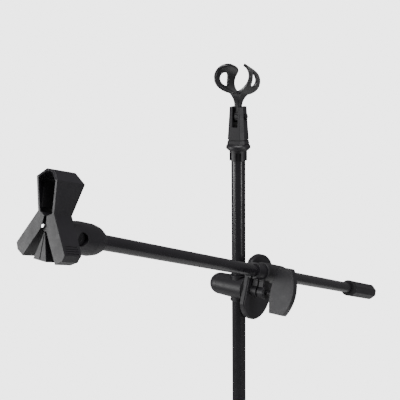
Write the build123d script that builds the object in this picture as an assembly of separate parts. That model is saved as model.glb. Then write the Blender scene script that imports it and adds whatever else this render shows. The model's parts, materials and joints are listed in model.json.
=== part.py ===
from build123d import *
from math import cos, radians, sin
import os

# Boom microphone stand. Millimetres, +Z up.
# Origin: on the floor, under the axis of the upright tube.
# +X is the way the boom's counter end points, so the boom's front clip is on the -X side.

# ---------------------------------------------------------------- driving dimensions
CLAMP_Z = 940.0          # height of the cross clamp's stud axis
LOWER_R = 11.0           # lower upright tube
LOWER_BORE = 9.5
LOWER_BOTTOM = 150.0
LOWER_TOP = 600.0
MAST_R = 8.0             # upper upright tube
MAST_BORE = 6.8
MAST_BOTTOM = 320.0
MAST_TOP = CLAMP_Z + 160.0
RUN = 0.05               # radial clearance of a running fit
GAP = 0.3                # gap between faces of parts that move past each other

HUB_Z = 182.0            # height of the leg pivots
HUB_PIVOT_R = 30.0       # pivot distance from the upright's axis
LEG_R = 9.5
LEG_BORE = 8.3
LEG_DROP = 30.0          # angle of an open leg below the horizontal
LEG_LENGTH = 337.0       # pivot to the centre of the foot
LEG_TURNS = (180.0, 60.0, -60.0)
LEG_EYE_R = 10.5
LEG_EYE_HALF = 8.0
LEG_PIN_R = 3.0

CLUTCH_BOTTOM = 560.0
CLUTCH_TOP = 620.0

BOOM_R = 7.0
BOOM_BORE = 5.8
BOOM_TILT = 19.7         # the counter end points this far below the horizontal
BOOM_OUT = 28.5          # boom axis in front of the upright's axis
BOOM_UP = 22.3           # boom axis above the clamp's stud axis
BOOM_FRONT = -278.0      # ends of the boom tube, along the boom from the clamp
BOOM_BACK = 300.0

GRIP_START = 238.0       # eight-sided end cap, along the boom
GRIP_SHOULDER = 302.0
GRIP_END = 314.5
GRIP_ACROSS = 21.2

BARREL_FRONT_R = 13.9    # conical barrel: radius at the front flange and at the far end
BARREL_BACK_R = 12.7
BARREL_FRONT = -10.2
BARREL_BACK = 24.5
STUD_R = 3.0
PLATE_LOWER = (14.5, -4.0, 30.0)     # x, z and radius of the plate's two lobes, about the stud
PLATE_UPPER = (12.0, 10.0, 32.5)
PLATE_LEFT = -12.0       # flat side of the plate towards the boom's front end
PLATE_BACK = 13.0        # faces of the plate, in front of the upright's axis
PLATE_FRONT = 19.0
SLEEVE_R = 11.2
SLEEVE_BORE = 8.2
SLEEVE_ENDS = (-6.0, 40.0)
BUSH_NOSE = 16.0         # the split bush stands this far out of the sleeve's front end
BUSH_NOSE_R = 9.3

KNUCKLE_S = -315.0       # clip tilt pivot, along the boom
KNUCKLE_R = 14.0
NOSE_R = 12.2            # round nose of the knuckle, about the tilt pivot
POCKET_R = 7.8           # round pocket in the knuckle for the clip's tongue
POCKET_MOUTH = 62.0      # half angle of the pocket's mouth
KNUCKLE_ROLL = 2.5       # turn of the knuckle about the boom
CLIP_TILT = -4.2         # tilt of the clip on its knuckle
TONGUE_HALF = 4.0
PIVOT_R = 3.0
CLIP_BACK = 33.6         # knuckle pivot behind the clip's front, and below its hinge pin
CLIP_DROP = 6.9
CLIP_PIN_R = 1.65
LUG_R = 4.6

HOLDER_Z = CLAMP_Z + 149.0      # lower end of the top holder's grip collar
FLANGE_Z = CLAMP_Z + 161.0
BASE_Z = CLAMP_Z + 168.0
BASE_TOP = CLAMP_Z + 209.6
HOLDER_TURN = 10.0       # turn of the top holder about the upright
HOLDER_SLOTS = 5         # slots in the grip collar
HOLDER_SLOT_TURN = 214.0
CRADLE_PIVOT_Z = CLAMP_Z + 198.5
CRADLE_TILT = 12.0      # the cradle's front end points this far above the horizontal
CRADLE_R = 18.2
CRADLE_WALL = 2.6
CRADLE_LENGTH = 37.0
CRADLE_RISE = 39.5       # cradle axis above its pivot
CRADLE_REACH = -5.0      # middle of the cradle along its axis, from its pivot
CRADLE_STEM_HALF = 3.1

# ---------------------------------------------------------------- frames
CLAMP = Pos(0, 0, CLAMP_Z)
TILT = CLAMP * Rot(0, BOOM_TILT, 0)
BOOM = TILT * Pos(0, -BOOM_OUT, BOOM_UP)
KNUCKLE = BOOM * Pos(KNUCKLE_S, 0, 0) * Rot(KNUCKLE_ROLL, 0, 0)
CLIP = KNUCKLE * Rot(0, CLIP_TILT, 0) * Pos(-CLIP_BACK, 0, CLIP_DROP)
HOLDER = Rot(0, 0, HOLDER_TURN)
CRADLE = HOLDER * Pos(0, 0, CRADLE_PIVOT_Z) * Rot(0, CRADLE_TILT, 0)

os.makedirs("parts", exist_ok=True)


# ---------------------------------------------------------------- helpers
def rod(radius, start, end, axis="Z", chamfer_size=0.0):
    """A round bar along one axis, from start to end."""
    bar = Cylinder(radius, end - start, align=(Align.CENTER, Align.CENTER, Align.MIN))
    if chamfer_size:
        bar = chamfer(bar.edges(), chamfer_size)
    bar = Pos(0, 0, start) * bar
    if axis == "X":
        return Rot(0, 90, 0) * bar
    if axis == "Y":
        return Rot(-90, 0, 0) * bar
    return bar


def ring(outer, inner, start, end, axis="Z", chamfer_size=0.0):
    """A round tube along one axis."""
    return rod(outer, start, end, axis, chamfer_size) - rod(inner, start - 1, end + 1, axis)


def block(x_range, y_range, z_range):
    """A box given by its two corners."""
    size = [r[1] - r[0] for r in (x_range, y_range, z_range)]
    low = (x_range[0], y_range[0], z_range[0])
    return Pos(*low) * Box(*size, align=(Align.MIN, Align.MIN, Align.MIN))


def turned(points):
    """A solid of revolution about Z from (radius, z) points."""
    face = make_face(Polyline(*[(r, 0, z) for r, z in points], close=True))
    return revolve(face, Axis.Z)


def along_x(points, start, end):
    """A prism along X with a (y, z) outline."""
    face = make_face(Polyline(*[(start, y, z) for y, z in points], close=True))
    return extrude(face, amount=end - start, dir=(1, 0, 0))


def along_y(points, start, end):
    """A prism along Y with an (x, z) outline."""
    face = make_face(Polyline(*[(x, start, z) for x, z in points], close=True))
    return extrude(face, amount=end - start, dir=(0, 1, 0))


def save(name, shape, place=None):
    """Write one sub-part at its place on the stand."""
    if place is not None:
        shape = place * shape
    solids = shape.solids()
    export_step(solids[0] if len(solids) == 1 else Compound(children=list(solids)), f"parts/{name}.step")


# ---------------------------------------------------------------- tripod base
def leg_frame(turn):
    """Leg frame: origin on the leg's pivot, +X out along the open leg."""
    return Rot(0, 0, turn) * Pos(HUB_PIVOT_R, 0, HUB_Z) * Rot(0, LEG_DROP, 0)


def make_hub():
    hub = turned([
        (LOWER_R, HUB_Z - 22), (17, HUB_Z - 22), (20, HUB_Z - 18), (20, HUB_Z + 14),
        (17, HUB_Z + 22), (14.5, HUB_Z + 34), (LOWER_R, HUB_Z + 34),
    ])
    for turn in LEG_TURNS:
        ears = rod(LEG_EYE_R + 3, -LEG_EYE_HALF - 5, LEG_EYE_HALF + 5, "Y", 1.0)
        ears = Pos(HUB_PIVOT_R, 0, 0) * ears
        ears += block((12, HUB_PIVOT_R), (-LEG_EYE_HALF - 5, LEG_EYE_HALF + 5), (-13, 13))
        hub += Rot(0, 0, turn) * Pos(0, 0, HUB_Z) * ears
    for turn in LEG_TURNS:
        slot = block((HUB_PIVOT_R - LEG_EYE_R - 1, 60), (-LEG_EYE_HALF - GAP, LEG_EYE_HALF + GAP), (-40, 40))
        pin_hole = Pos(HUB_PIVOT_R, 0, 0) * rod(LEG_PIN_R, -30, 30, "Y")
        hub -= Rot(0, 0, turn) * Pos(0, 0, HUB_Z) * (slot + pin_hole)
    screw_hole = Pos(0, 0, HUB_Z + 26) * rod(2.5, 5, 30, "X")
    return hub - rod(LOWER_R, HUB_Z - 60, HUB_Z + 60) - screw_hole


def make_leg_pins():
    pins = []
    for turn in LEG_TURNS:
        half = LEG_EYE_HALF + 5
        pin = rod(LEG_PIN_R, -half, half, "Y")
        pin += rod(LEG_PIN_R + 2.2, -half - 2.4, -half, "Y", 0.6)
        pin += rod(LEG_PIN_R + 2.0, half, half + 2.0, "Y", 0.5)
        pins.append(Rot(0, 0, turn) * Pos(HUB_PIVOT_R, 0, HUB_Z) * pin)
    return Compound(children=pins)


def make_leg_root():
    """Moulded root that plugs into the leg tube and turns on the hinge pin."""
    root = rod(LEG_EYE_R, -LEG_EYE_HALF, LEG_EYE_HALF, "Y", 0.8)
    root += block((0, 20), (-LEG_EYE_HALF, LEG_EYE_HALF), (-LEG_EYE_R + 1.2, LEG_EYE_R - 1.2))
    root += rod(LEG_R + 1.2, 18, 27, "X", 0.8)
    root += rod(LEG_BORE, 26, 52, "X")
    return root - rod(LEG_PIN_R + RUN, -20, 20, "Y")


def make_foot():
    """Rubber boot over the leg's end, cut flat where it meets the floor."""
    end = LEG_LENGTH
    boot = turned([
        (LEG_R, end - 34), (LEG_R + 2.2, end - 34), (LEG_R + 3.0, end - 32), (LEG_R + 3.0, end - 10),
        (LEG_R + 5.2, end - 5), (LEG_R + 5.2, end + 5), (LEG_R + 1.0, end + 12), (0, end + 12),
        (0, end), (LEG_R, end),
    ])
    lowered = Rot(0, LEG_DROP, 0) * Rot(0, 90, 0) * boot
    above_floor = block((0, 900), (-60, 60), (-HUB_Z, 200))
    return Rot(0, -LEG_DROP, 0) * (lowered & above_floor)


def make_base():
    save("lower_tube", ring(LOWER_R, LOWER_BORE, LOWER_BOTTOM, LOWER_TOP))
    plug = rod(LOWER_R, LOWER_BOTTOM - 4, LOWER_BOTTOM, chamfer_size=1.0)
    save("lower_tube_plug", plug + rod(LOWER_BORE, LOWER_BOTTOM - 1, LOWER_BOTTOM + 16))
    save("leg_hub", make_hub())
    screw = rod(2.5, LOWER_R, 18, "X") + rod(5.0, 17.5, 21.5, "X", 0.8)
    screw -= rod(2.0, 19.5, 23, "X")
    save("hub_screw", Pos(0, 0, HUB_Z + 26) * screw)
    save("leg_hinge_pins", make_leg_pins())
    for number, turn in enumerate(LEG_TURNS, 1):
        frame = leg_frame(turn)
        save(f"leg_{number}_root", make_leg_root(), frame)
        save(f"leg_{number}_tube", ring(LEG_R, LEG_BORE, 27, LEG_LENGTH, "X"), frame)
        save(f"leg_{number}_foot", make_foot(), frame)


# ---------------------------------------------------------------- height clutch and upright
def make_clutch_body():
    body = turned([
        (LOWER_R, CLUTCH_BOTTOM), (14.5, CLUTCH_BOTTOM), (16, CLUTCH_BOTTOM + 4), (17, CLUTCH_BOTTOM + 20),
        (17, CLUTCH_TOP - 12), (14, CLUTCH_TOP - 2), (13, CLUTCH_TOP), (LOWER_R, CLUTCH_TOP),
    ])
    boss = rod(9.0, 10, 25, "Y", 1.0)
    body += Pos(0, 0, CLUTCH_BOTTOM + 30) * Rot(0, 0, 180) * boss
    body -= rod(LOWER_R, CLUTCH_BOTTOM - 1, CLUTCH_TOP - 14)
    body -= rod(LOWER_R - 0.6, CLUTCH_TOP - 15, CLUTCH_TOP + 1)
    return body - Pos(0, 0, CLUTCH_BOTTOM + 30) * rod(STUD_R + RUN, -40, -8, "Y")


def make_clutch_bush():
    """Split lining that grips the upper tube."""
    bush = ring(LOWER_BORE, MAST_R + RUN, LOWER_TOP - 26, LOWER_TOP)
    bush += ring(LOWER_R, MAST_R + RUN, LOWER_TOP, LOWER_TOP + 5)
    bush += ring(LOWER_R - 0.6, MAST_R + RUN, LOWER_TOP + 5, CLUTCH_TOP + 1.2)
    return bush - block((-1.0, 1.0), (0, 20), (LOWER_TOP - 30, CLUTCH_TOP + 5))


def wing_outline(low, high, inner, tip, bulge):
    """Wing knob seen edge on: straight along the inner side, bowed on the outer side."""
    middle = (low + high) / 2
    edge = Polyline((0, inner - 3, low), (0, inner, -7), (0, inner, 7), (0, inner - 3, high))
    top = Line(edge @ 1, (0, tip, high))
    bow = ThreePointArc((0, tip, high), (0, bulge, middle), (0, tip, low))
    bottom = Line((0, tip, low), edge @ 0)
    return make_face([edge, top, bow, bottom])


def make_wing_knob(inner, low, high, tip, bulge, thickness):
    """Wing knob on a stud along -Y; inner, tip and bulge are distances along -Y."""
    wing = extrude(wing_outline(low, high, -inner, -tip, -bulge), amount=thickness / 2, both=True)
    hub = Rot(0, 0, 180) * rod(thickness / 2, inner - 1, inner + 15, "Y", 0.4)
    bore = Rot(0, 0, 180) * rod(STUD_R + RUN, inner - 6, inner + 11, "Y")
    return wing + hub - bore


def make_upright():
    save("clutch_body", make_clutch_body())
    save("clutch_bush", make_clutch_bush())
    knob_place = Pos(0, 0, CLUTCH_BOTTOM + 30)
    stud = Rot(0, 0, 180) * rod(STUD_R, LOWER_R + 0.2, 36, "Y")
    save("clutch_stud", stud, knob_place)
    save("clutch_knob", make_wing_knob(27.6, -19, 19, 42, 47, 8.0), knob_place)
    save("mast_tube", ring(MAST_R, MAST_BORE, MAST_BOTTOM, MAST_TOP))
    bush = ring(LOWER_BORE - RUN, MAST_R, MAST_BOTTOM, MAST_BOTTOM + 30)
    bush += ring(LOWER_BORE - RUN, MAST_BORE, MAST_BOTTOM - 4, MAST_BOTTOM)
    save("mast_foot_bush", bush)


# ---------------------------------------------------------------- cross clamp on the upright
def make_clamp_liner():
    """Split bush that slides on the upright and that the barrel turns on."""
    half = BARREL_FRONT_R
    liner = ring(9.2, MAST_R + RUN, -half - GAP, half + GAP)
    liner += ring(9.8, MAST_R + RUN, half + GAP, half + 1.5)
    liner += ring(9.8, MAST_R + RUN, -half - 1.5, -half - GAP)
    return liner - block((-0.8, 0.8), (0, 20), (-30, 30))


def make_barrel():
    """Conical cross barrel: open socket at the far end, flange and stud seat at the front."""
    body = turned([
        (0, -11.5), (14.1, -11.5), (14.5, -11.1), (14.5, -10.6), (BARREL_FRONT_R, BARREL_FRONT),
        (BARREL_BACK_R, BARREL_BACK), (9.2, BARREL_BACK), (9.2, 13.5), (0, 13.5),
    ])
    barrel = Rot(-90, 0, 0) * body
    barrel -= rod(9.2 + RUN, -30, 30)
    seat = rod(6.0, 5.0, 9.9, "Y") + rod(STUD_R, 9.0, 20.0, "Y")
    return barrel - Rot(0, 0, 180) * seat


def make_barrel_cap():
    """Domed plug in the barrel's far end."""
    rim = BARREL_BACK + 1.0
    dome = Pos(0, rim, 0) * Sphere(BARREL_BACK_R)
    dome &= block((-20, 20), (rim, rim + 30), (-20, 20))
    cap = dome + rod(BARREL_BACK_R, BARREL_BACK, rim, "Y") + rod(9.2, 14, BARREL_BACK + 0.5, "Y")
    return cap - rod(7.0, 10, 23, "Y")


def make_stud():
    """Stud from the barrel's front wall, with a flat head inside."""
    return Rot(0, 0, 180) * (rod(6.0, 9.4, 9.9, "Y") + rod(STUD_R, 9.8, 55.5, "Y"))


def make_boom_clamp():
    """Plate, split sleeve and hub in one casting, in the tilting clamp's frame."""
    plate = None
    for x, z, radius in (PLATE_LOWER, PLATE_UPPER):
        disc = Pos(x, 0, z) * Rot(0, 0, 180) * rod(radius, PLATE_BACK, PLATE_FRONT, "Y")
        plate = disc if plate is None else plate + disc
    plate &= block((PLATE_LEFT, 80), (-PLATE_FRONT, -PLATE_BACK), (-80, 80))
    corners = [e for e in plate.edges().filter_by(Axis.Y) if abs(e.center().X - PLATE_LEFT) < 0.1]
    plate = fillet(corners, 7.0)
    plate = fillet([e for e in plate.edges() if abs(e.center().Y + PLATE_FRONT) < 0.1], 2.0)
    hub = Rot(0, 0, 180) * rod(7.5, 18, 37.0, "Y", 0.5)
    sleeve = Pos(0, -BOOM_OUT, BOOM_UP) * rod(SLEEVE_R, *SLEEVE_ENDS, "X", 0.6)
    web = block((-5.5, 7.5), (-BOOM_OUT - 6.5, -18), (0, BOOM_UP - 4))
    rib = block((7.0, 36.0), (-BOOM_OUT, -18), (6, BOOM_UP))
    clamp = plate + hub + sleeve + web + rib
    clamp -= Pos(0, -BOOM_OUT, BOOM_UP) * rod(SLEEVE_BORE, SLEEVE_ENDS[0] - 20, SLEEVE_ENDS[1] + 20, "X")
    clamp -= block((-20, 60), (-BOOM_OUT - 0.9, -BOOM_OUT + 0.9), (-12, BOOM_UP - 4))
    return clamp - Rot(0, 0, 180) * rod(STUD_R + RUN, 0, 60, "Y")


def make_clamp():
    save("clamp_liner", make_clamp_liner(), CLAMP)
    save("clamp_barrel", make_barrel(), CLAMP)
    save("barrel_end_cap", make_barrel_cap(), CLAMP)
    save("clamp_stud", make_stud(), CLAMP)
    washer = Rot(0, 0, 180) * ring(13.2, STUD_R + RUN, 11.5, PLATE_BACK - RUN, "Y")
    save("friction_washer", washer, CLAMP)
    save("boom_clamp", make_boom_clamp(), TILT)
    bush = ring(SLEEVE_BORE, BOOM_R + RUN, SLEEVE_ENDS[0], SLEEVE_ENDS[1], "X")
    bush += ring(BUSH_NOSE_R, BOOM_R + RUN, SLEEVE_ENDS[0] - BUSH_NOSE, SLEEVE_ENDS[0], "X")
    bush -= block((-30, 60), (-0.9, 0.9), (-20, 0))
    save("boom_bush", bush, BOOM)
    save("clamp_thrust_washer", Rot(0, 0, 180) * ring(7.2, STUD_R + RUN, 37.2, 38.4, "Y"), TILT)
    save("clamp_knob", make_wing_knob(45.0, -21.5, 32, 65.7, 73.8, 8.0), TILT)


# ---------------------------------------------------------------- boom
def octagon_bar(across, start, end):
    """A bar of eight equal flats along X."""
    bar = extrude(RegularPolygon(across / 2, 8, major_radius=False, rotation=22.5), amount=end - start)
    return Rot(0, 90, 0) * Pos(0, 0, start) * bar


def make_end_grip():
    """Eight-sided end cap that tapers at the boom's counter end."""
    grip = octagon_bar(GRIP_ACROSS, GRIP_START, GRIP_SHOULDER)
    sections = []
    for place, radius in ((GRIP_SHOULDER, GRIP_ACROSS / 2), (GRIP_END - 5, 9.2), (GRIP_END, 7.2)):
        outline = RegularPolygon(radius, 8, major_radius=False, rotation=22.5)
        sections.append((Pos(place, 0, 0) * Rot(0, 90, 0) * outline).face())
    grip += loft(sections, ruled=True)
    return grip - rod(BOOM_R, 200, BOOM_BACK, "X")


def make_boom():
    save("boom_tube", ring(BOOM_R, BOOM_BORE, BOOM_FRONT, BOOM_BACK, "X"), BOOM)
    save("boom_end_grip", make_end_grip(), BOOM)
    collar = rod(10.8, GRIP_START - 6, GRIP_START, "X", 1.2) - rod(BOOM_R, 200, GRIP_END, "X")
    save("boom_end_collar", collar, BOOM)
    plug = rod(BOOM_BORE, BOOM_FRONT, BOOM_FRONT + 22, "X")
    plug += rod(5.0, KNUCKLE_S + 16, BOOM_FRONT, "X")
    save("boom_tip_stud", plug, BOOM)


# ---------------------------------------------------------------- knuckle and spring clip
def make_knuckle():
    """Rounded socket on the boom's front stud, with a pocket for the clip's tongue."""
    neck_x = BOOM_FRONT - KNUCKLE_S - GAP
    body = turned([(0, -14), (12.6, -14), (KNUCKLE_R, -4), (KNUCKLE_R, 20), (12.5, 28),
                   (9.8, 33.5), (7.6, neck_x), (0, neck_x)])
    body = Rot(0, 90, 0) * body
    shoulders = [e for e in body.edges() if 22 < e.center().X < 34]
    body = fillet(shoulders, 2.5)
    nose = rod(NOSE_R, -20, 20, "Y")
    nose += along_y([(0, -NOSE_R), (9, -KNUCKLE_R - 1), (60, -20), (60, 20), (9, KNUCKLE_R + 1), (0, NOSE_R)],
                    -20, 20)
    body &= nose
    mouth_x, mouth_z = 24 * cos(radians(POCKET_MOUTH)), 24 * sin(radians(POCKET_MOUTH))
    half = TONGUE_HALF + GAP
    body -= rod(POCKET_R, -half, half, "Y")
    body -= along_y([(0, 0), (-mouth_x, mouth_z), (-40, mouth_z), (-40, -mouth_z), (-mouth_x, -mouth_z)],
                    -half, half)
    body -= rod(5.0 + RUN, 14, neck_x + 5, "X")
    body -= rod(PIVOT_R, -20, 20, "Y")
    body -= rod(5.9, -20, -8.6, "Y")
    return body - rod(6.0, 10.5, 20, "Y")


JAW_SIDE = [(2.0, -31), (1.2, -18), (0.6, 10.7), (-5.0, 38), (-2.4, 47), (20.3, 47), (26.0, 37.4),
            (20.3, 10.7), (20.5, -13.4), (19.0, -21), (19.0, -31)]
JAW_FRONT = [(1.3, 8.1), (2.75, -2.1), (19.0, -27.8), (26.3, -24.0), (28.4, -18.6), (9.4, 10.8),
             (12.0, 38.0), (4.0, 45.6), (0.25, 45.6), (0.25, 43.7), (3.2, 43.4), (9.8, 37.2), (6.9, 10.9)]
LUG_START = 3.0          # the jaws' front walls hide the hinge lugs


def make_jaw(side, lugs):
    """One jaw of the clip; side is +1 on the +Y side, lugs are ranges along the hinge pin."""
    body = along_x([(side * y, z) for y, z in JAW_FRONT], -8, 30)
    body &= along_y(JAW_SIDE, -40, 40)
    grooves = rod(CLIP_PIN_R + GAP, -10, LUG_START, "X") + rod(LUG_R + GAP, LUG_START, 40, "X")
    for low, high in lugs:
        grooves -= block((low, high), (-10, 10), (-10, 10))
    body -= grooves
    for low, high in lugs:
        body += rod(LUG_R, low, high, "X")
    for step in range(4):
        reach = 27.2 + 2.0 * step
        groove = Pos(11, side * (9.4 + 0.543 * reach), 10.8 - 0.84 * reach) * Rot(side * 57, 0, 0)
        body -= groove * Box(14, 1.1, 0.8)
    return body - rod(CLIP_PIN_R + RUN, -10, 40, "X")


def make_jaw_pad(side):
    """Soft lining on the inside of a jaw's wall."""
    outline = [(6.95, 14.0), (9.45, 35.0), (8.3, 35.0), (5.8, 14.0)]
    return along_x([(side * y, z) for y, z in outline], 1.0, 18.0)


def make_clip_bracket():
    """Middle leaf between the jaws' handles, with the tongue that the knuckle holds."""
    leaf = along_x([(0.6, -5.4), (7.6, -28.0), (-7.6, -28.0), (-0.6, -5.4)], 3.0, 18.5)
    leaf += along_x([(1.2, -5.6), (2.2, -1), (-2.2, -1), (-1.2, -5.6)], 8.0, 9.4)
    leaf += rod(3.6, 8.0, 9.4, "X")
    pivot = Pos(CLIP_BACK, 0, -CLIP_DROP)
    leaf += block((12.0, 21.4), (-2.8, 2.8), (-22, -CLIP_DROP + 1))
    leaf += block((20.8, 21.4), (-TONGUE_HALF, TONGUE_HALF), (-CLIP_DROP - 4, -CLIP_DROP + 4))
    leaf += pivot * rod(POCKET_R - 0.5, -TONGUE_HALF, TONGUE_HALF, "Y")
    leaf += pivot * block((-12.6, 0), (-TONGUE_HALF, TONGUE_HALF), (-4, 4))
    leaf -= block((2.0, 3.6), (-0.35, 0.35), (-30, -7))
    leaf -= pivot * rod(PIVOT_R + RUN, -10, 10, "Y")
    leaf -= block((10, 20.5), (-6, 6), (-5.4, 6))
    return leaf - rod(CLIP_PIN_R, -5, 40, "X")


def make_jaw_spring():
    """Torsion spring on the hinge pin: closed coils and two straight legs."""
    coils = None
    for turn in range(6):
        loop = Pos(10.6 + turn, 0, 0) * Rot(0, 90, 0) * Torus(2.9, 0.55)
        coils = loop if coils is None else coils + loop
    for side, x in ((1, 10.6), (-1, 15.6)):
        coils += Pos(x, side * 1.2, -2.6) * Rot(-side * 164, 0, 0) * rod(0.5, 0, 2.6)
    return coils


def make_front_clip():
    save("knuckle", make_knuckle(), KNUCKLE)
    screw = rod(PIVOT_R, -8.6, 10.4, "Y") + rod(5.6, -10.4, -8.6, "Y", 0.5)
    socket = Rot(-90, 0, 0) * Pos(0, 0, -12) * extrude(RegularPolygon(2.5, 6), amount=2.0)
    save("knuckle_screw", screw - socket, KNUCKLE)
    nut = Rot(-90, 0, 0) * extrude(RegularPolygon(5.0, 6, major_radius=False), amount=3.0)
    save("knuckle_nut", Pos(0, 10.5, 0) * nut - rod(PIVOT_R, 0, 20, "Y"), KNUCKLE)
    save("clip_bracket", make_clip_bracket(), CLIP)
    save("clip_hinge_pin", rod(CLIP_PIN_R, -0.6, 21.0, "X", 0.3), CLIP)
    save("clip_spring", make_jaw_spring(), CLIP)
    save("jaw_left", make_jaw(1, ((3.2, 5.6), (18.6, 20.4))), CLIP)
    save("jaw_right", make_jaw(-1, ((5.9, 7.7), (16.5, 18.3))), CLIP)
    save("jaw_pad_left", make_jaw_pad(1), CLIP)
    save("jaw_pad_right", make_jaw_pad(-1), CLIP)


# ---------------------------------------------------------------- microphone cradle on the upright
def make_grip_collar():
    """Skirt of the top holder around the upright, split into prongs by wide slots."""
    collar = ring(9.9, MAST_R, HOLDER_Z, FLANGE_Z)
    for number in range(HOLDER_SLOTS):
        slot = block((6, 14), (-2.9, 2.9), (HOLDER_Z - 1, FLANGE_Z - 2.5))
        collar -= Rot(0, 0, HOLDER_SLOT_TURN + 360 / HOLDER_SLOTS * number) * slot
    return collar


def make_holder_flange():
    flange = turned([(0, FLANGE_Z), (11.2, FLANGE_Z), (13.7, FLANGE_Z + 2.4), (13.7, FLANGE_Z + 4.8),
                     (12.2, BASE_Z - GAP), (0, BASE_Z - GAP)])
    stud = rod(6.0, BASE_Z - 1, BASE_Z + 15, chamfer_size=0.5)
    return flange + stud - rod(MAST_R, 0, MAST_TOP)


def make_holder_base():
    """Tapered square block with broad corner flats, forked for the cradle's stem."""
    def section(width, z):
        flat = Rectangle(width, width)
        return (Pos(0, 0, z) * chamfer(flat.vertices(), width * 0.2)).face()
    base = loft([section(21.6, BASE_Z), section(20.4, BASE_Z + 4)])
    base += loft([section(19.0, BASE_Z + 4), section(19.0, BASE_Z + 5.2)])
    base += loft([section(20.5, BASE_Z + 5.2), section(16.2, BASE_TOP)])
    base -= block((-20, 20), (-CRADLE_STEM_HALF - GAP, CRADLE_STEM_HALF + GAP), (CLAMP_Z + 187, BASE_TOP + 1))
    base -= rod(6.0 + RUN, BASE_Z - 1, BASE_Z + 15.4)
    pivot = Pos(0, 0, CRADLE_PIVOT_Z)
    base -= pivot * rod(2.5, -20, 20, "Y")
    base -= pivot * rod(4.2, -20, -8.2, "Y")
    return base - pivot * rod(4.5, 5.6, 20, "Y")


def cradle_outline():
    """Side view of the cradle in its own frame: narrow stem, full length half way up, narrow tips."""
    half = CRADLE_LENGTH / 2
    root, tip = 6.0, 5.5
    low, high = CRADLE_RISE - CRADLE_R - 1, CRADLE_RISE + CRADLE_R
    left = Spline((-root, 0, low), (-half, 0, CRADLE_RISE - 2), (-tip, 0, high),
                  tangents=[(-0.9, 0, 1), (0.6, 0, 1)], tangent_scalars=[1.0, 1.0])
    right = mirror(left, Plane.YZ)
    top = Line((-tip, 0, high), (tip, 0, high))
    bottom = Line((-root, 0, low), (root, 0, low))
    return Pos(CRADLE_REACH, 0, 0) * make_face([left, right, top, bottom])


def cradle_window():
    """Rounded teardrop through both leaves, point up."""
    wide = Pos(CRADLE_REACH - 2, CRADLE_RISE - 2.5) * Circle(6.0)
    narrow = Pos(CRADLE_REACH - 2, CRADLE_RISE + 6.0) * Circle(2.6)
    drop = make_hull(wide.edges() + narrow.edges())
    return extrude(Rot(90, 0, 0) * drop, amount=40, both=True)


def make_cradle():
    """C-shaped holder for a hand microphone: two leaves with open windows, on a flat stem."""
    axis = Pos(CRADLE_REACH, 0, CRADLE_RISE)
    shell = axis * ring(CRADLE_R, CRADLE_R - CRADLE_WALL, -24, 24, "X")
    shell -= block((-30, 30), (-3.5, 3.5), (CRADLE_RISE, CRADLE_RISE + 30))
    shell &= extrude(cradle_outline(), amount=40, both=True)
    shell -= cradle_window()
    half = CRADLE_STEM_HALF
    ring_low = CRADLE_RISE - CRADLE_R
    stem = rod(6.5, -half, half, "Y", 0.5)
    stem += along_y([(-4, 0), (4, 0), (4, 12), (CRADLE_REACH + 8, ring_low + 1),
                     (CRADLE_REACH - 8, ring_low + 1), (-4, 12)], -half, half)
    stem -= axis * rod(CRADLE_R - CRADLE_WALL, -30, 30, "X")
    return shell + stem - rod(2.5 + RUN, -20, 20, "Y")


def make_top_holder():
    save("grip_collar", make_grip_collar())
    save("holder_flange", make_holder_flange())
    save("holder_base", make_holder_base(), HOLDER)
    pivot = HOLDER * Pos(0, 0, CRADLE_PIVOT_Z)
    screw = rod(2.5, -10.6, 5.6, "Y") + rod(4.2, 5.6, 7.8, "Y", 0.4)
    save("cradle_screw", screw - block((-3, 3), (7.0, 9.0), (-0.5, 0.5)), pivot)
    nut = Rot(-90, 0, 0) * extrude(RegularPolygon(3.0, 6, major_radius=False), amount=2.3)
    save("cradle_nut", Pos(0, -10.5, 0) * nut - rod(2.5, -15, 0, "Y"), pivot)
    save("mic_cradle", make_cradle(), CRADLE)


make_base()
make_upright()
make_clamp()
make_boom()
make_front_clip()
make_top_holder()
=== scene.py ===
"""Boom microphone stand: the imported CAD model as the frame, with finished surfaces around it."""
import json
import math

import bmesh
import bpy
from mathutils import Euler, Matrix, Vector


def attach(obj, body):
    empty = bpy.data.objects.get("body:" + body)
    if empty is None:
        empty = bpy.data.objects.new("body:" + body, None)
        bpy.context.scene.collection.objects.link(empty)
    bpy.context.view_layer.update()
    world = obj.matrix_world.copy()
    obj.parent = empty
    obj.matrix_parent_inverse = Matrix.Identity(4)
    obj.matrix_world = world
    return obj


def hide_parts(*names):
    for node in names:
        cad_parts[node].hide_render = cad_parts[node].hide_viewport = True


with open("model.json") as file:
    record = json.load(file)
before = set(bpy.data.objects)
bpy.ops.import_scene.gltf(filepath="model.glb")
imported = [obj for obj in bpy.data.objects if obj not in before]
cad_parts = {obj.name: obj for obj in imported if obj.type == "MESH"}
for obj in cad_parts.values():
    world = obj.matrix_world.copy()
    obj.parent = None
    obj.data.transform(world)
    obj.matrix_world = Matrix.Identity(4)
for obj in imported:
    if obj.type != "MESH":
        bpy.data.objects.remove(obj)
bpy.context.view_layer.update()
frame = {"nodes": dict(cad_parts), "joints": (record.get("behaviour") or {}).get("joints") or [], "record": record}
nodes = frame["nodes"]
joints = {joint["name"]: joint for joint in frame["joints"]}
mounts = {mount["name"]: mount for mount in frame["record"]["mounts"]}
MM = 0.001

clamp_point = Vector(joints["boom_tilt"]["pos_m"])

# ------------------------------------------------------------------ camera
CAMERA_FROM_CLAMP = Vector((-0.7390, -0.4990, 0.2928))
CAMERA_YAW = 36.839       # heading of the view from +X towards +Y, degrees
CAMERA_PITCH = 11.964     # how far it looks down
CAMERA_ROLL = -0.762
CAMERA_LENS = 72.0
SENSOR = 36.0


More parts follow.
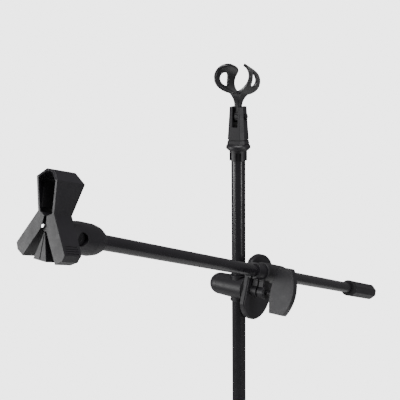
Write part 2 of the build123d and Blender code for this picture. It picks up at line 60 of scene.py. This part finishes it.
def add_camera():
    data = bpy.data.cameras.new("camera")
    data.lens = CAMERA_LENS
    data.sensor_width = SENSOR
    camera = bpy.data.objects.new("camera", data)
    bpy.context.scene.collection.objects.link(camera)
    camera.location = clamp_point + CAMERA_FROM_CLAMP
    heading = Euler((math.radians(90.0 - CAMERA_PITCH), 0.0, math.radians(CAMERA_YAW - 90.0)), "XYZ")
    roll = Euler((0.0, 0.0, math.radians(CAMERA_ROLL)), "XYZ")
    camera.rotation_euler = (heading.to_matrix() @ roll.to_matrix()).to_euler("XYZ")
    bpy.context.scene.camera = camera


# ------------------------------------------------------------------ light and floor
BACKDROP_LIGHT = 3.6      # white sweep behind the object
ROOM_LIGHT = 0.20         # what the room sheds on it
FLOOR_RADIUS = 1.3
FLOOR_SIDES = 96
FLOOR_PAINT = (0.93, 0.93, 0.93, 1.0)
FLOOR_ROUGHNESS = 0.9
SOFTBOXES = (             # name, azimuth, elevation, distance, width and height, radiance
    ("front_left", 131.0, 2.0, 2.2, (0.7, 0.8), 12.0),
    ("left_strip", 154.0, 8.0, 2.2, (0.14, 1.7), 16.0),
    ("right_strip", 266.0, 10.0, 2.2, (0.20, 1.7), 21.0),
    ("top", 215.0, 74.0, 2.0, (1.3, 0.8), 11.0),
)


def add_softbox(name, azimuth, elevation, distance, size, radiance):
    """A rectangular light that faces the clamp; azimuth and elevation are seen from the clamp."""
    data = bpy.data.lights.new(name, "AREA")
    data.shape = "RECTANGLE"
    data.size, data.size_y = size
    data.energy = radiance * math.pi * size[0] * size[1]
    light = bpy.data.objects.new(name, data)
    bpy.context.scene.collection.objects.link(light)
    flat = math.cos(math.radians(elevation))
    way = Vector((flat * math.cos(math.radians(azimuth)), flat * math.sin(math.radians(azimuth)),
                  math.sin(math.radians(elevation))))
    light.location = clamp_point + way * distance
    light.rotation_euler = way.to_track_quat("Z", "Y").to_euler()


def add_world():
    """A bright backdrop for the camera and a dimmer room for everything else."""
    world = bpy.data.worlds.new("studio")
    world.use_nodes = True
    tree = world.node_tree
    background = tree.nodes["Background"]
    background.inputs["Color"].default_value = (1.0, 1.0, 1.0, 1.0)
    seen = tree.nodes.new("ShaderNodeLightPath")
    strength = tree.nodes.new("ShaderNodeMath")
    strength.operation = "MULTIPLY_ADD"
    strength.inputs[1].default_value = BACKDROP_LIGHT - ROOM_LIGHT
    strength.inputs[2].default_value = ROOM_LIGHT
    tree.links.new(seen.outputs["Is Camera Ray"], strength.inputs[0])
    tree.links.new(strength.outputs["Value"], background.inputs["Strength"])
    bpy.context.scene.world = world


def add_floor():
    turns = [2.0 * math.pi * side / FLOOR_SIDES for side in range(FLOOR_SIDES)]
    rim = [(FLOOR_RADIUS * math.cos(turn), FLOOR_RADIUS * math.sin(turn), 0) for turn in turns]
    mesh = bpy.data.meshes.new("floor")
    mesh.from_pydata(rim, [], [tuple(range(FLOOR_SIDES))])
    floor = bpy.data.objects.new("floor", mesh)
    bpy.context.scene.collection.objects.link(floor)
    material = bpy.data.materials.new("floor_paint")
    material.use_nodes = True
    shader = material.node_tree.nodes["Principled BSDF"]
    shader.inputs["Base Color"].default_value = FLOOR_PAINT
    shader.inputs["Roughness"].default_value = FLOOR_ROUGHNESS
    mesh.materials.append(material)


def add_stage():
    add_world()
    add_floor()
    for softbox in SOFTBOXES:
        add_softbox(*softbox)


# ------------------------------------------------------------------ materials
TONE_SCALE = 34.0         # noise scales, in cells per metre
SCUFF_SCALE = 420.0
GLOSS_SCALE = 150.0
TONE_ENDS = (0.32, 0.68)  # where the two tones are pure
SCUFF_ENDS = (0.38, 0.72)
EDGE_ENDS = (0.82, 0.995)  # cosine between rounded and true normal: full wear, no wear
BEVEL_SAMPLES = 6
COAT_ROUGHNESS = 0.25
GRAIN_STRENGTH = 0.6
RUBBED_GAIN, RUBBED_BASE = 5, 0.02        # a rubbed edge is this many times the light tone, plus this


def link(tree, source, output, target, name):
    tree.links.new(source.outputs[output], target.inputs[name])


def noise(tree, coordinates, scale, detail, roughness=0.5):
    texture = tree.nodes.new("ShaderNodeTexNoise")
    texture.inputs["Scale"].default_value = scale
    texture.inputs["Detail"].default_value = detail
    texture.inputs["Roughness"].default_value = roughness
    link(tree, coordinates, "Object", texture, "Vector")
    return texture


def spread(tree, source, output, low, high, start=0.3, end=0.7):
    """Maps a texture's middle range onto low to high."""
    node = tree.nodes.new("ShaderNodeMapRange")
    node.inputs["From Min"].default_value = start
    node.inputs["From Max"].default_value = end
    node.inputs["To Min"].default_value = low
    node.inputs["To Max"].default_value = high
    link(tree, source, output, node, "Value")
    return node


def two_tones(tree, source, output, dark, light):
    ramp = tree.nodes.new("ShaderNodeValToRGB")
    ramp.color_ramp.elements[0].position = TONE_ENDS[0]
    ramp.color_ramp.elements[0].color = (*dark, 1.0)
    ramp.color_ramp.elements[1].position = TONE_ENDS[1]
    ramp.color_ramp.elements[1].color = (*light, 1.0)
    link(tree, source, output, ramp, "Fac")
    return ramp


def edge_mask(tree, radius):
    """White along sharp edges, black on open faces, from a rounded normal against the true one."""
    rounded = tree.nodes.new("ShaderNodeBevel")
    rounded.samples = BEVEL_SAMPLES
    rounded.inputs["Radius"].default_value = radius
    true_normal = tree.nodes.new("ShaderNodeNewGeometry")
    dot = tree.nodes.new("ShaderNodeVectorMath")
    dot.operation = "DOT_PRODUCT"
    link(tree, rounded, "Normal", dot, "Vector")
    tree.links.new(true_normal.outputs["Normal"], dot.inputs[1])
    mask = spread(tree, dot, "Value", 1.0, 0.0, *EDGE_ENDS)
    return rounded, mask


def finish_material(name, dark, light, roughness, grain, depth, wear, specular, metallic=0.0, coat=0.0,
                    edge=0.0006, stretch=None):
    """One solid finish: two close tones, uneven gloss, surface grain and rubbed edges.

    grain is in cells per metre, depth in metres; stretch squeezes the grain along an axis into brush lines.
    """
    material = bpy.data.materials.new(name)
    material.use_nodes = True
    tree = material.node_tree
    shader = tree.nodes["Principled BSDF"]
    shader.inputs["Metallic"].default_value = metallic
    shader.inputs["Specular IOR Level"].default_value = specular
    shader.inputs["Coat Weight"].default_value = coat
    shader.inputs["Coat Roughness"].default_value = COAT_ROUGHNESS
    place = tree.nodes.new("ShaderNodeTexCoord")
    broad = noise(tree, place, TONE_SCALE, detail=3.0)
    tones = two_tones(tree, broad, "Fac", dark, light)
    rounded, mask = edge_mask(tree, edge)
    scuffs = noise(tree, place, SCUFF_SCALE, detail=5.0, roughness=0.7)
    rubbed = tree.nodes.new("ShaderNodeMath")
    rubbed.operation = "MULTIPLY"
    link(tree, mask, "Result", rubbed, 0)
    rub_amount = spread(tree, scuffs, "Fac", 0.0, wear, *SCUFF_ENDS)
    link(tree, rub_amount, "Result", rubbed, 1)
    blend = tree.nodes.new("ShaderNodeMix")
    blend.data_type = "RGBA"
    link(tree, rubbed, "Value", blend, "Factor")
    colour_inputs = [socket for socket in blend.inputs if socket.type == "RGBA"]
    tree.links.new(tones.outputs["Color"], colour_inputs[0])
    rubbed_colour = [part * RUBBED_GAIN + RUBBED_BASE for part in light]
    colour_inputs[1].default_value = (*rubbed_colour, 1.0)
    colour_output = [socket for socket in blend.outputs if socket.type == "RGBA"][0]
    tree.links.new(colour_output, shader.inputs["Base Color"])
    gloss = noise(tree, place, GLOSS_SCALE, detail=6.0, roughness=0.6)
    gloss_range = spread(tree, gloss, "Fac", roughness[0], roughness[1])
    link(tree, gloss_range, "Result", shader, "Roughness")
    texture = noise(tree, place, grain, detail=3.0, roughness=0.6)
    if stretch:
        mapping = tree.nodes.new("ShaderNodeMapping")
        mapping.inputs["Scale"].default_value = stretch
        link(tree, place, "Object", mapping, "Vector")
        link(tree, mapping, "Vector", texture, "Vector")
    bump = tree.nodes.new("ShaderNodeBump")
    bump.inputs["Strength"].default_value = GRAIN_STRENGTH
    bump.inputs["Distance"].default_value = depth
    link(tree, texture, "Fac", bump, "Height")
    link(tree, rounded, "Normal", bump, "Normal")
    link(tree, bump, "Normal", shader, "Normal")
    return material


def make_materials():
    """One finish for each material slot of the record."""
    return {
        "coated_steel": finish_material(
            "powder_coat", dark=(0.010, 0.0092, 0.0115), light=(0.014, 0.0128, 0.0158),
            roughness=(0.22, 0.30), grain=900.0, depth=0.000012, wear=0.10, specular=0.42,
            coat=0.08, edge=0.0001),
        "black_plastic": finish_material(
            "moulded_black", dark=(0.0105, 0.0096, 0.0120), light=(0.0150, 0.0138, 0.0170),
            roughness=(0.40, 0.50), grain=2600.0, depth=0.00005, wear=0.22, specular=0.42),
        "flexible_plastic": finish_material(
            "nylon_black", dark=(0.0110, 0.0102, 0.0122), light=(0.0150, 0.0140, 0.0165),
            roughness=(0.24, 0.34), grain=700.0, depth=0.00005, wear=0.10, specular=0.62, coat=0.10),
        "knob_plastic": finish_material(
            "knob_black", dark=(0.0100, 0.0092, 0.0115), light=(0.0145, 0.0134, 0.0165),
            roughness=(0.30, 0.40), grain=2200.0, depth=0.00004, wear=0.25, specular=0.40),
        "black_steel": finish_material(
            "black_oxide", dark=(0.010, 0.0095, 0.0112), light=(0.016, 0.0152, 0.0178),
            roughness=(0.30, 0.42), grain=1800.0, depth=0.00003, wear=0.45, specular=0.40, metallic=0.25),
        "bright_steel": finish_material(
            "plated_steel", dark=(0.72, 0.72, 0.74), light=(0.82, 0.82, 0.84),
            roughness=(0.14, 0.24), grain=1500.0, depth=0.00002, wear=0.0, specular=0.5, metallic=1.0,
            stretch=(1.0, 1.0, 12.0)),
        "rubber": finish_material(
            "soft_rubber", dark=(0.0090, 0.0086, 0.0098), light=(0.0140, 0.0134, 0.0150),
            roughness=(0.66, 0.82), grain=1300.0, depth=0.00012, wear=0.08, specular=0.30),
    }


def dress_nodes(materials):
    """Every CAD node takes the finish of its own material slot."""
    for part in frame["record"]["subparts"]:
        mesh = nodes[part["node"]].data
        mesh.materials.clear()
        mesh.materials.append(materials[part["material_slot"]])


# ------------------------------------------------------------------ piece helpers
def finished_piece(name, mesh, material, body, slot, *replaced):
    """A made piece that rides its body and stands in for the CAD nodes it replaces."""
    piece = bpy.data.objects.new(name, mesh)
    bpy.context.scene.collection.objects.link(piece)
    mesh.materials.clear()
    mesh.materials.append(material)
    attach(piece, body)
    if replaced:
        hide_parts(*replaced)
    return piece


def evaluated_copy(piece, name):
    """A new mesh of the piece with its modifiers applied."""
    graph = bpy.context.evaluated_depsgraph_get()
    mesh = bpy.data.meshes.new_from_object(piece.evaluated_get(graph))
    mesh.name = name
    return mesh


def stitched(rows):
    """Quads between successive closed rows of vertex numbers."""
    faces = []
    for one, two in zip(rows, rows[1:]):
        count = len(one)
        for i in range(count):
            k = (i + 1) % count
            faces.append((one[i], one[k], two[k], two[i]))
    return faces


def solid_object(name, verts, faces):
    """An object of closed shells, with every face turned outwards."""
    mesh = bpy.data.meshes.new(name)
    mesh.from_pydata(verts, [], faces)
    shell = bmesh.new()
    shell.from_mesh(mesh)
    bmesh.ops.recalc_face_normals(shell, faces=shell.faces)
    shell.to_mesh(mesh)
    shell.free()
    solid = bpy.data.objects.new(name, mesh)
    bpy.context.scene.collection.objects.link(solid)
    return solid


# ------------------------------------------------------------------ microphone cradle
CRADLE_INNER = (16.6, 13.9)       # inner half width and half height at the middle, mm
CRADLE_TAPER = (0.125, 0.06)      # how much each shrinks per mm towards the back
CRADLE_LIFT = 1.2                 # the leaves' centre above the seat's
CRADLE_HALF_LENGTH = 20.0
CRADLE_WALL = 3.2
BORE_HALF_LENGTH = 30.0           # runs out past both ends of the leaves
BORE_STEPS = 64
LEAF_STEPS, LEAF_RINGS = 72, 7            # points round the outline, rows from window to edge
LEAF_MIDDLE, LEAF_REACH = 77.0, 81.0      # angles round the ring, from the bottom
LEAF_SQUARENESS = 0.62            # 1 is an ellipse, less is squarer
WINDOW_MIDDLE, WINDOW_REACH = 88.0, 29.0
WINDOW_SHIFT, WINDOW_HALF = -2.0, 9.0
WINDOW_SQUARENESS = 0.8
ROOT_BLEND = 19.0                 # radius between the stem and the leaves
ROOT_STEPS = 12
ROOT_TOP_WIDTH, ROOT_TOP_DEPTH = 0.8, 0.84        # the root's top, as shares of its sides and of the bore
STEM_HALF = 3.0                   # half thickness of the stem across the cradle
STEM_REACH, STEM_FLARE = 4.2, 6.5         # half length along the cradle, and what the flare adds to it
EYE_R, EYE_BORE = 6.5, 2.7        # radii of the pivot's eye and of its bore
EYE_STEPS = 48
VOXEL = 0.45                      # mm
SOFTEN_SHARE, SOFTEN_ROUNDS = 0.5, 8      # rounds off the moulding's corners


def cradle_point(turn, along, extra=0.0):
    """A point of the tapered ring, extra mm outside its inner face, in mm from the seat's centre."""
    wide = CRADLE_INNER[0] - CRADLE_TAPER[0] * along + extra
    high = CRADLE_INNER[1] - CRADLE_TAPER[1] * along + extra
    return along, wide * math.sin(turn), CRADLE_LIFT - high * math.cos(turn)


def squared(value, power):
    """A power that keeps the value's sign; under 1 it squares up a round outline."""
    return math.copysign(abs(value) ** power, value)


def leaf_outline(step):
    """Outer edge of a leaf and the edge of its window, as (angle, along) pairs."""
    turn = 2.0 * math.pi * (step + 0.5) / LEAF_STEPS
    rise = -math.cos(turn)
    swing = math.sin(turn)
    power = LEAF_SQUARENESS if rise > 0 else 1.0
    outer = (LEAF_MIDDLE + LEAF_REACH * squared(rise, power), CRADLE_HALF_LENGTH * squared(swing, power))
    inner = (WINDOW_MIDDLE + WINDOW_REACH * rise,
             WINDOW_SHIFT + WINDOW_HALF * squared(swing, WINDOW_SQUARENESS))
    return outer, inner


def add_leaf(verts, faces, side):
    """One leaf with its window: an inner and an outer sheet, joined at both edges."""
    layers = []
    for extra in (0.0, CRADLE_WALL):
        rows = []
        for ring in range(LEAF_RINGS + 1):
            share = ring / LEAF_RINGS
            row = []
            for step in range(LEAF_STEPS):
                outer, inner = leaf_outline(step)
                angle = inner[0] + (outer[0] - inner[0]) * share
                along = inner[1] + (outer[1] - inner[1]) * share
                row.append(len(verts))
                verts.append(cradle_point(side * math.radians(angle), along, extra))
            rows.append(row)
        layers.append(rows)
        faces += stitched(rows)
    for ring in (0, LEAF_RINGS):
        faces += stitched([layers[0][ring], layers[1][ring]])


def root_profile():
    """The arc that runs from the stem's side into the leaf, as (half width, height) pairs."""
    ring_radius = CRADLE_INNER[1] + CRADLE_WALL
    middle = STEM_HALF + ROOT_BLEND
    drop = math.sqrt((ring_radius + ROOT_BLEND) ** 2 - middle ** 2)
    last = math.atan2(drop, middle)
    points = []
    for step in range(ROOT_STEPS + 1):
        turn = last * step / ROOT_STEPS
        points.append((middle - ROOT_BLEND * math.cos(turn),
                       CRADLE_LIFT - drop + ROOT_BLEND * math.sin(turn)))
    return points


def add_stem(verts, faces, pivot_along, rise):
    """Flat stem from the pivot's eye that flares into both leaves like the foot of a glass."""
    profile = [(STEM_HALF, -rise)] + root_profile()
    last_half, last_height = profile[-1]
    sections = []
    for half, height in profile:
        share = (height + rise) / (last_height + rise)
        sections.append((pivot_along * (1.0 - share), STEM_REACH + STEM_FLARE * share ** 3, half, height))
    sections.append((0.0, STEM_REACH + STEM_FLARE, last_half * ROOT_TOP_WIDTH,
                     CRADLE_LIFT - CRADLE_INNER[1] * ROOT_TOP_DEPTH))
    rows = []
    for along, reach, half, height in sections:
        corners = ((-reach, -half), (reach, -half), (reach, half), (-reach, half))
        rows.append([len(verts) + i for i in range(4)])
        verts.extend((along + x, y, height) for x, y in corners)
    faces += stitched(rows)
    faces.append(tuple(rows[0]))
    faces.append(tuple(rows[-1]))


def add_eye(verts, faces, pivot_along, rise):
    """Round eye of the stem with the bore for the pivot screw."""
    corners = ((EYE_R, -STEM_HALF), (EYE_R, STEM_HALF), (EYE_BORE, STEM_HALF), (EYE_BORE, -STEM_HALF))
    rows = []
    for radius, half in corners:
        row = []
        for step in range(EYE_STEPS):
            turn = 2.0 * math.pi * step / EYE_STEPS
            row.append(len(verts))
            verts.append((pivot_along + radius * math.cos(turn), half, -rise + radius * math.sin(turn)))
        rows.append(row)
    faces += stitched(rows + [rows[0]])


def add_bore(verts, faces):
    """The space between the leaves, as a solid that clears the root."""
    rows = []
    for along in (-BORE_HALF_LENGTH, BORE_HALF_LENGTH):
        row = []
        for step in range(BORE_STEPS):
            row.append(len(verts))
            verts.append(cradle_point(2.0 * math.pi * step / BORE_STEPS, along))
        rows.append(row)
    faces += stitched(rows)
    faces.append(tuple(rows[0]))
    faces.append(tuple(rows[1]))


def add_voxel_remesh(piece, name):
    remesh = piece.modifiers.new(name, "REMESH")
    remesh.mode = "VOXEL"
    remesh.voxel_size = VOXEL * MM


def make_cradle(materials):
    """The moulded microphone cradle: leaves, stem and eye made one, bored out and softened."""
    seat = Vector(mounts["mic_seat"]["pos_m"])
    back = -Vector(mounts["mic_seat"]["axis"]).normalized()
    across = Vector(joints["cradle_tilt"]["axis"]).normalized()
    up = back.cross(across)
    pivot = (Vector(joints["cradle_tilt"]["pos_m"]) - seat) / MM
    pivot_along, rise = pivot.dot(back), -pivot.dot(up)

    def placed(points):
        return [seat + (back * x + across * y + up * z) * MM for x, y, z in points]

    verts, faces = [], []
    for side in (1, -1):
        add_leaf(verts, faces, side)
    add_stem(verts, faces, pivot_along, rise)
    add_eye(verts, faces, pivot_along, rise)
    rough = solid_object("cradle_rough", placed(verts), faces)
    verts, faces = [], []
    add_bore(verts, faces)
    bore = solid_object("cradle_bore", placed(verts), faces)
    add_voxel_remesh(rough, "union")
    clear = rough.modifiers.new("clear", "BOOLEAN")
    clear.operation = "DIFFERENCE"
    clear.object = bore
    add_voxel_remesh(rough, "even")
    soften = rough.modifiers.new("soften", "SMOOTH")
    soften.factor = SOFTEN_SHARE
    soften.iterations = SOFTEN_ROUNDS
    moulded = evaluated_copy(rough, "cradle_moulding")
    bpy.data.objects.remove(rough)
    bpy.data.objects.remove(bore)
    moulded.shade_smooth()
    finished_piece("cradle_moulding", moulded, materials["flexible_plastic"], "cradle",
                   "flexible_plastic", "mic_cradle")


# ------------------------------------------------------------------ scene
add_camera()
add_stage()
finishes = make_materials()
dress_nodes(finishes)
make_cradle(finishes)
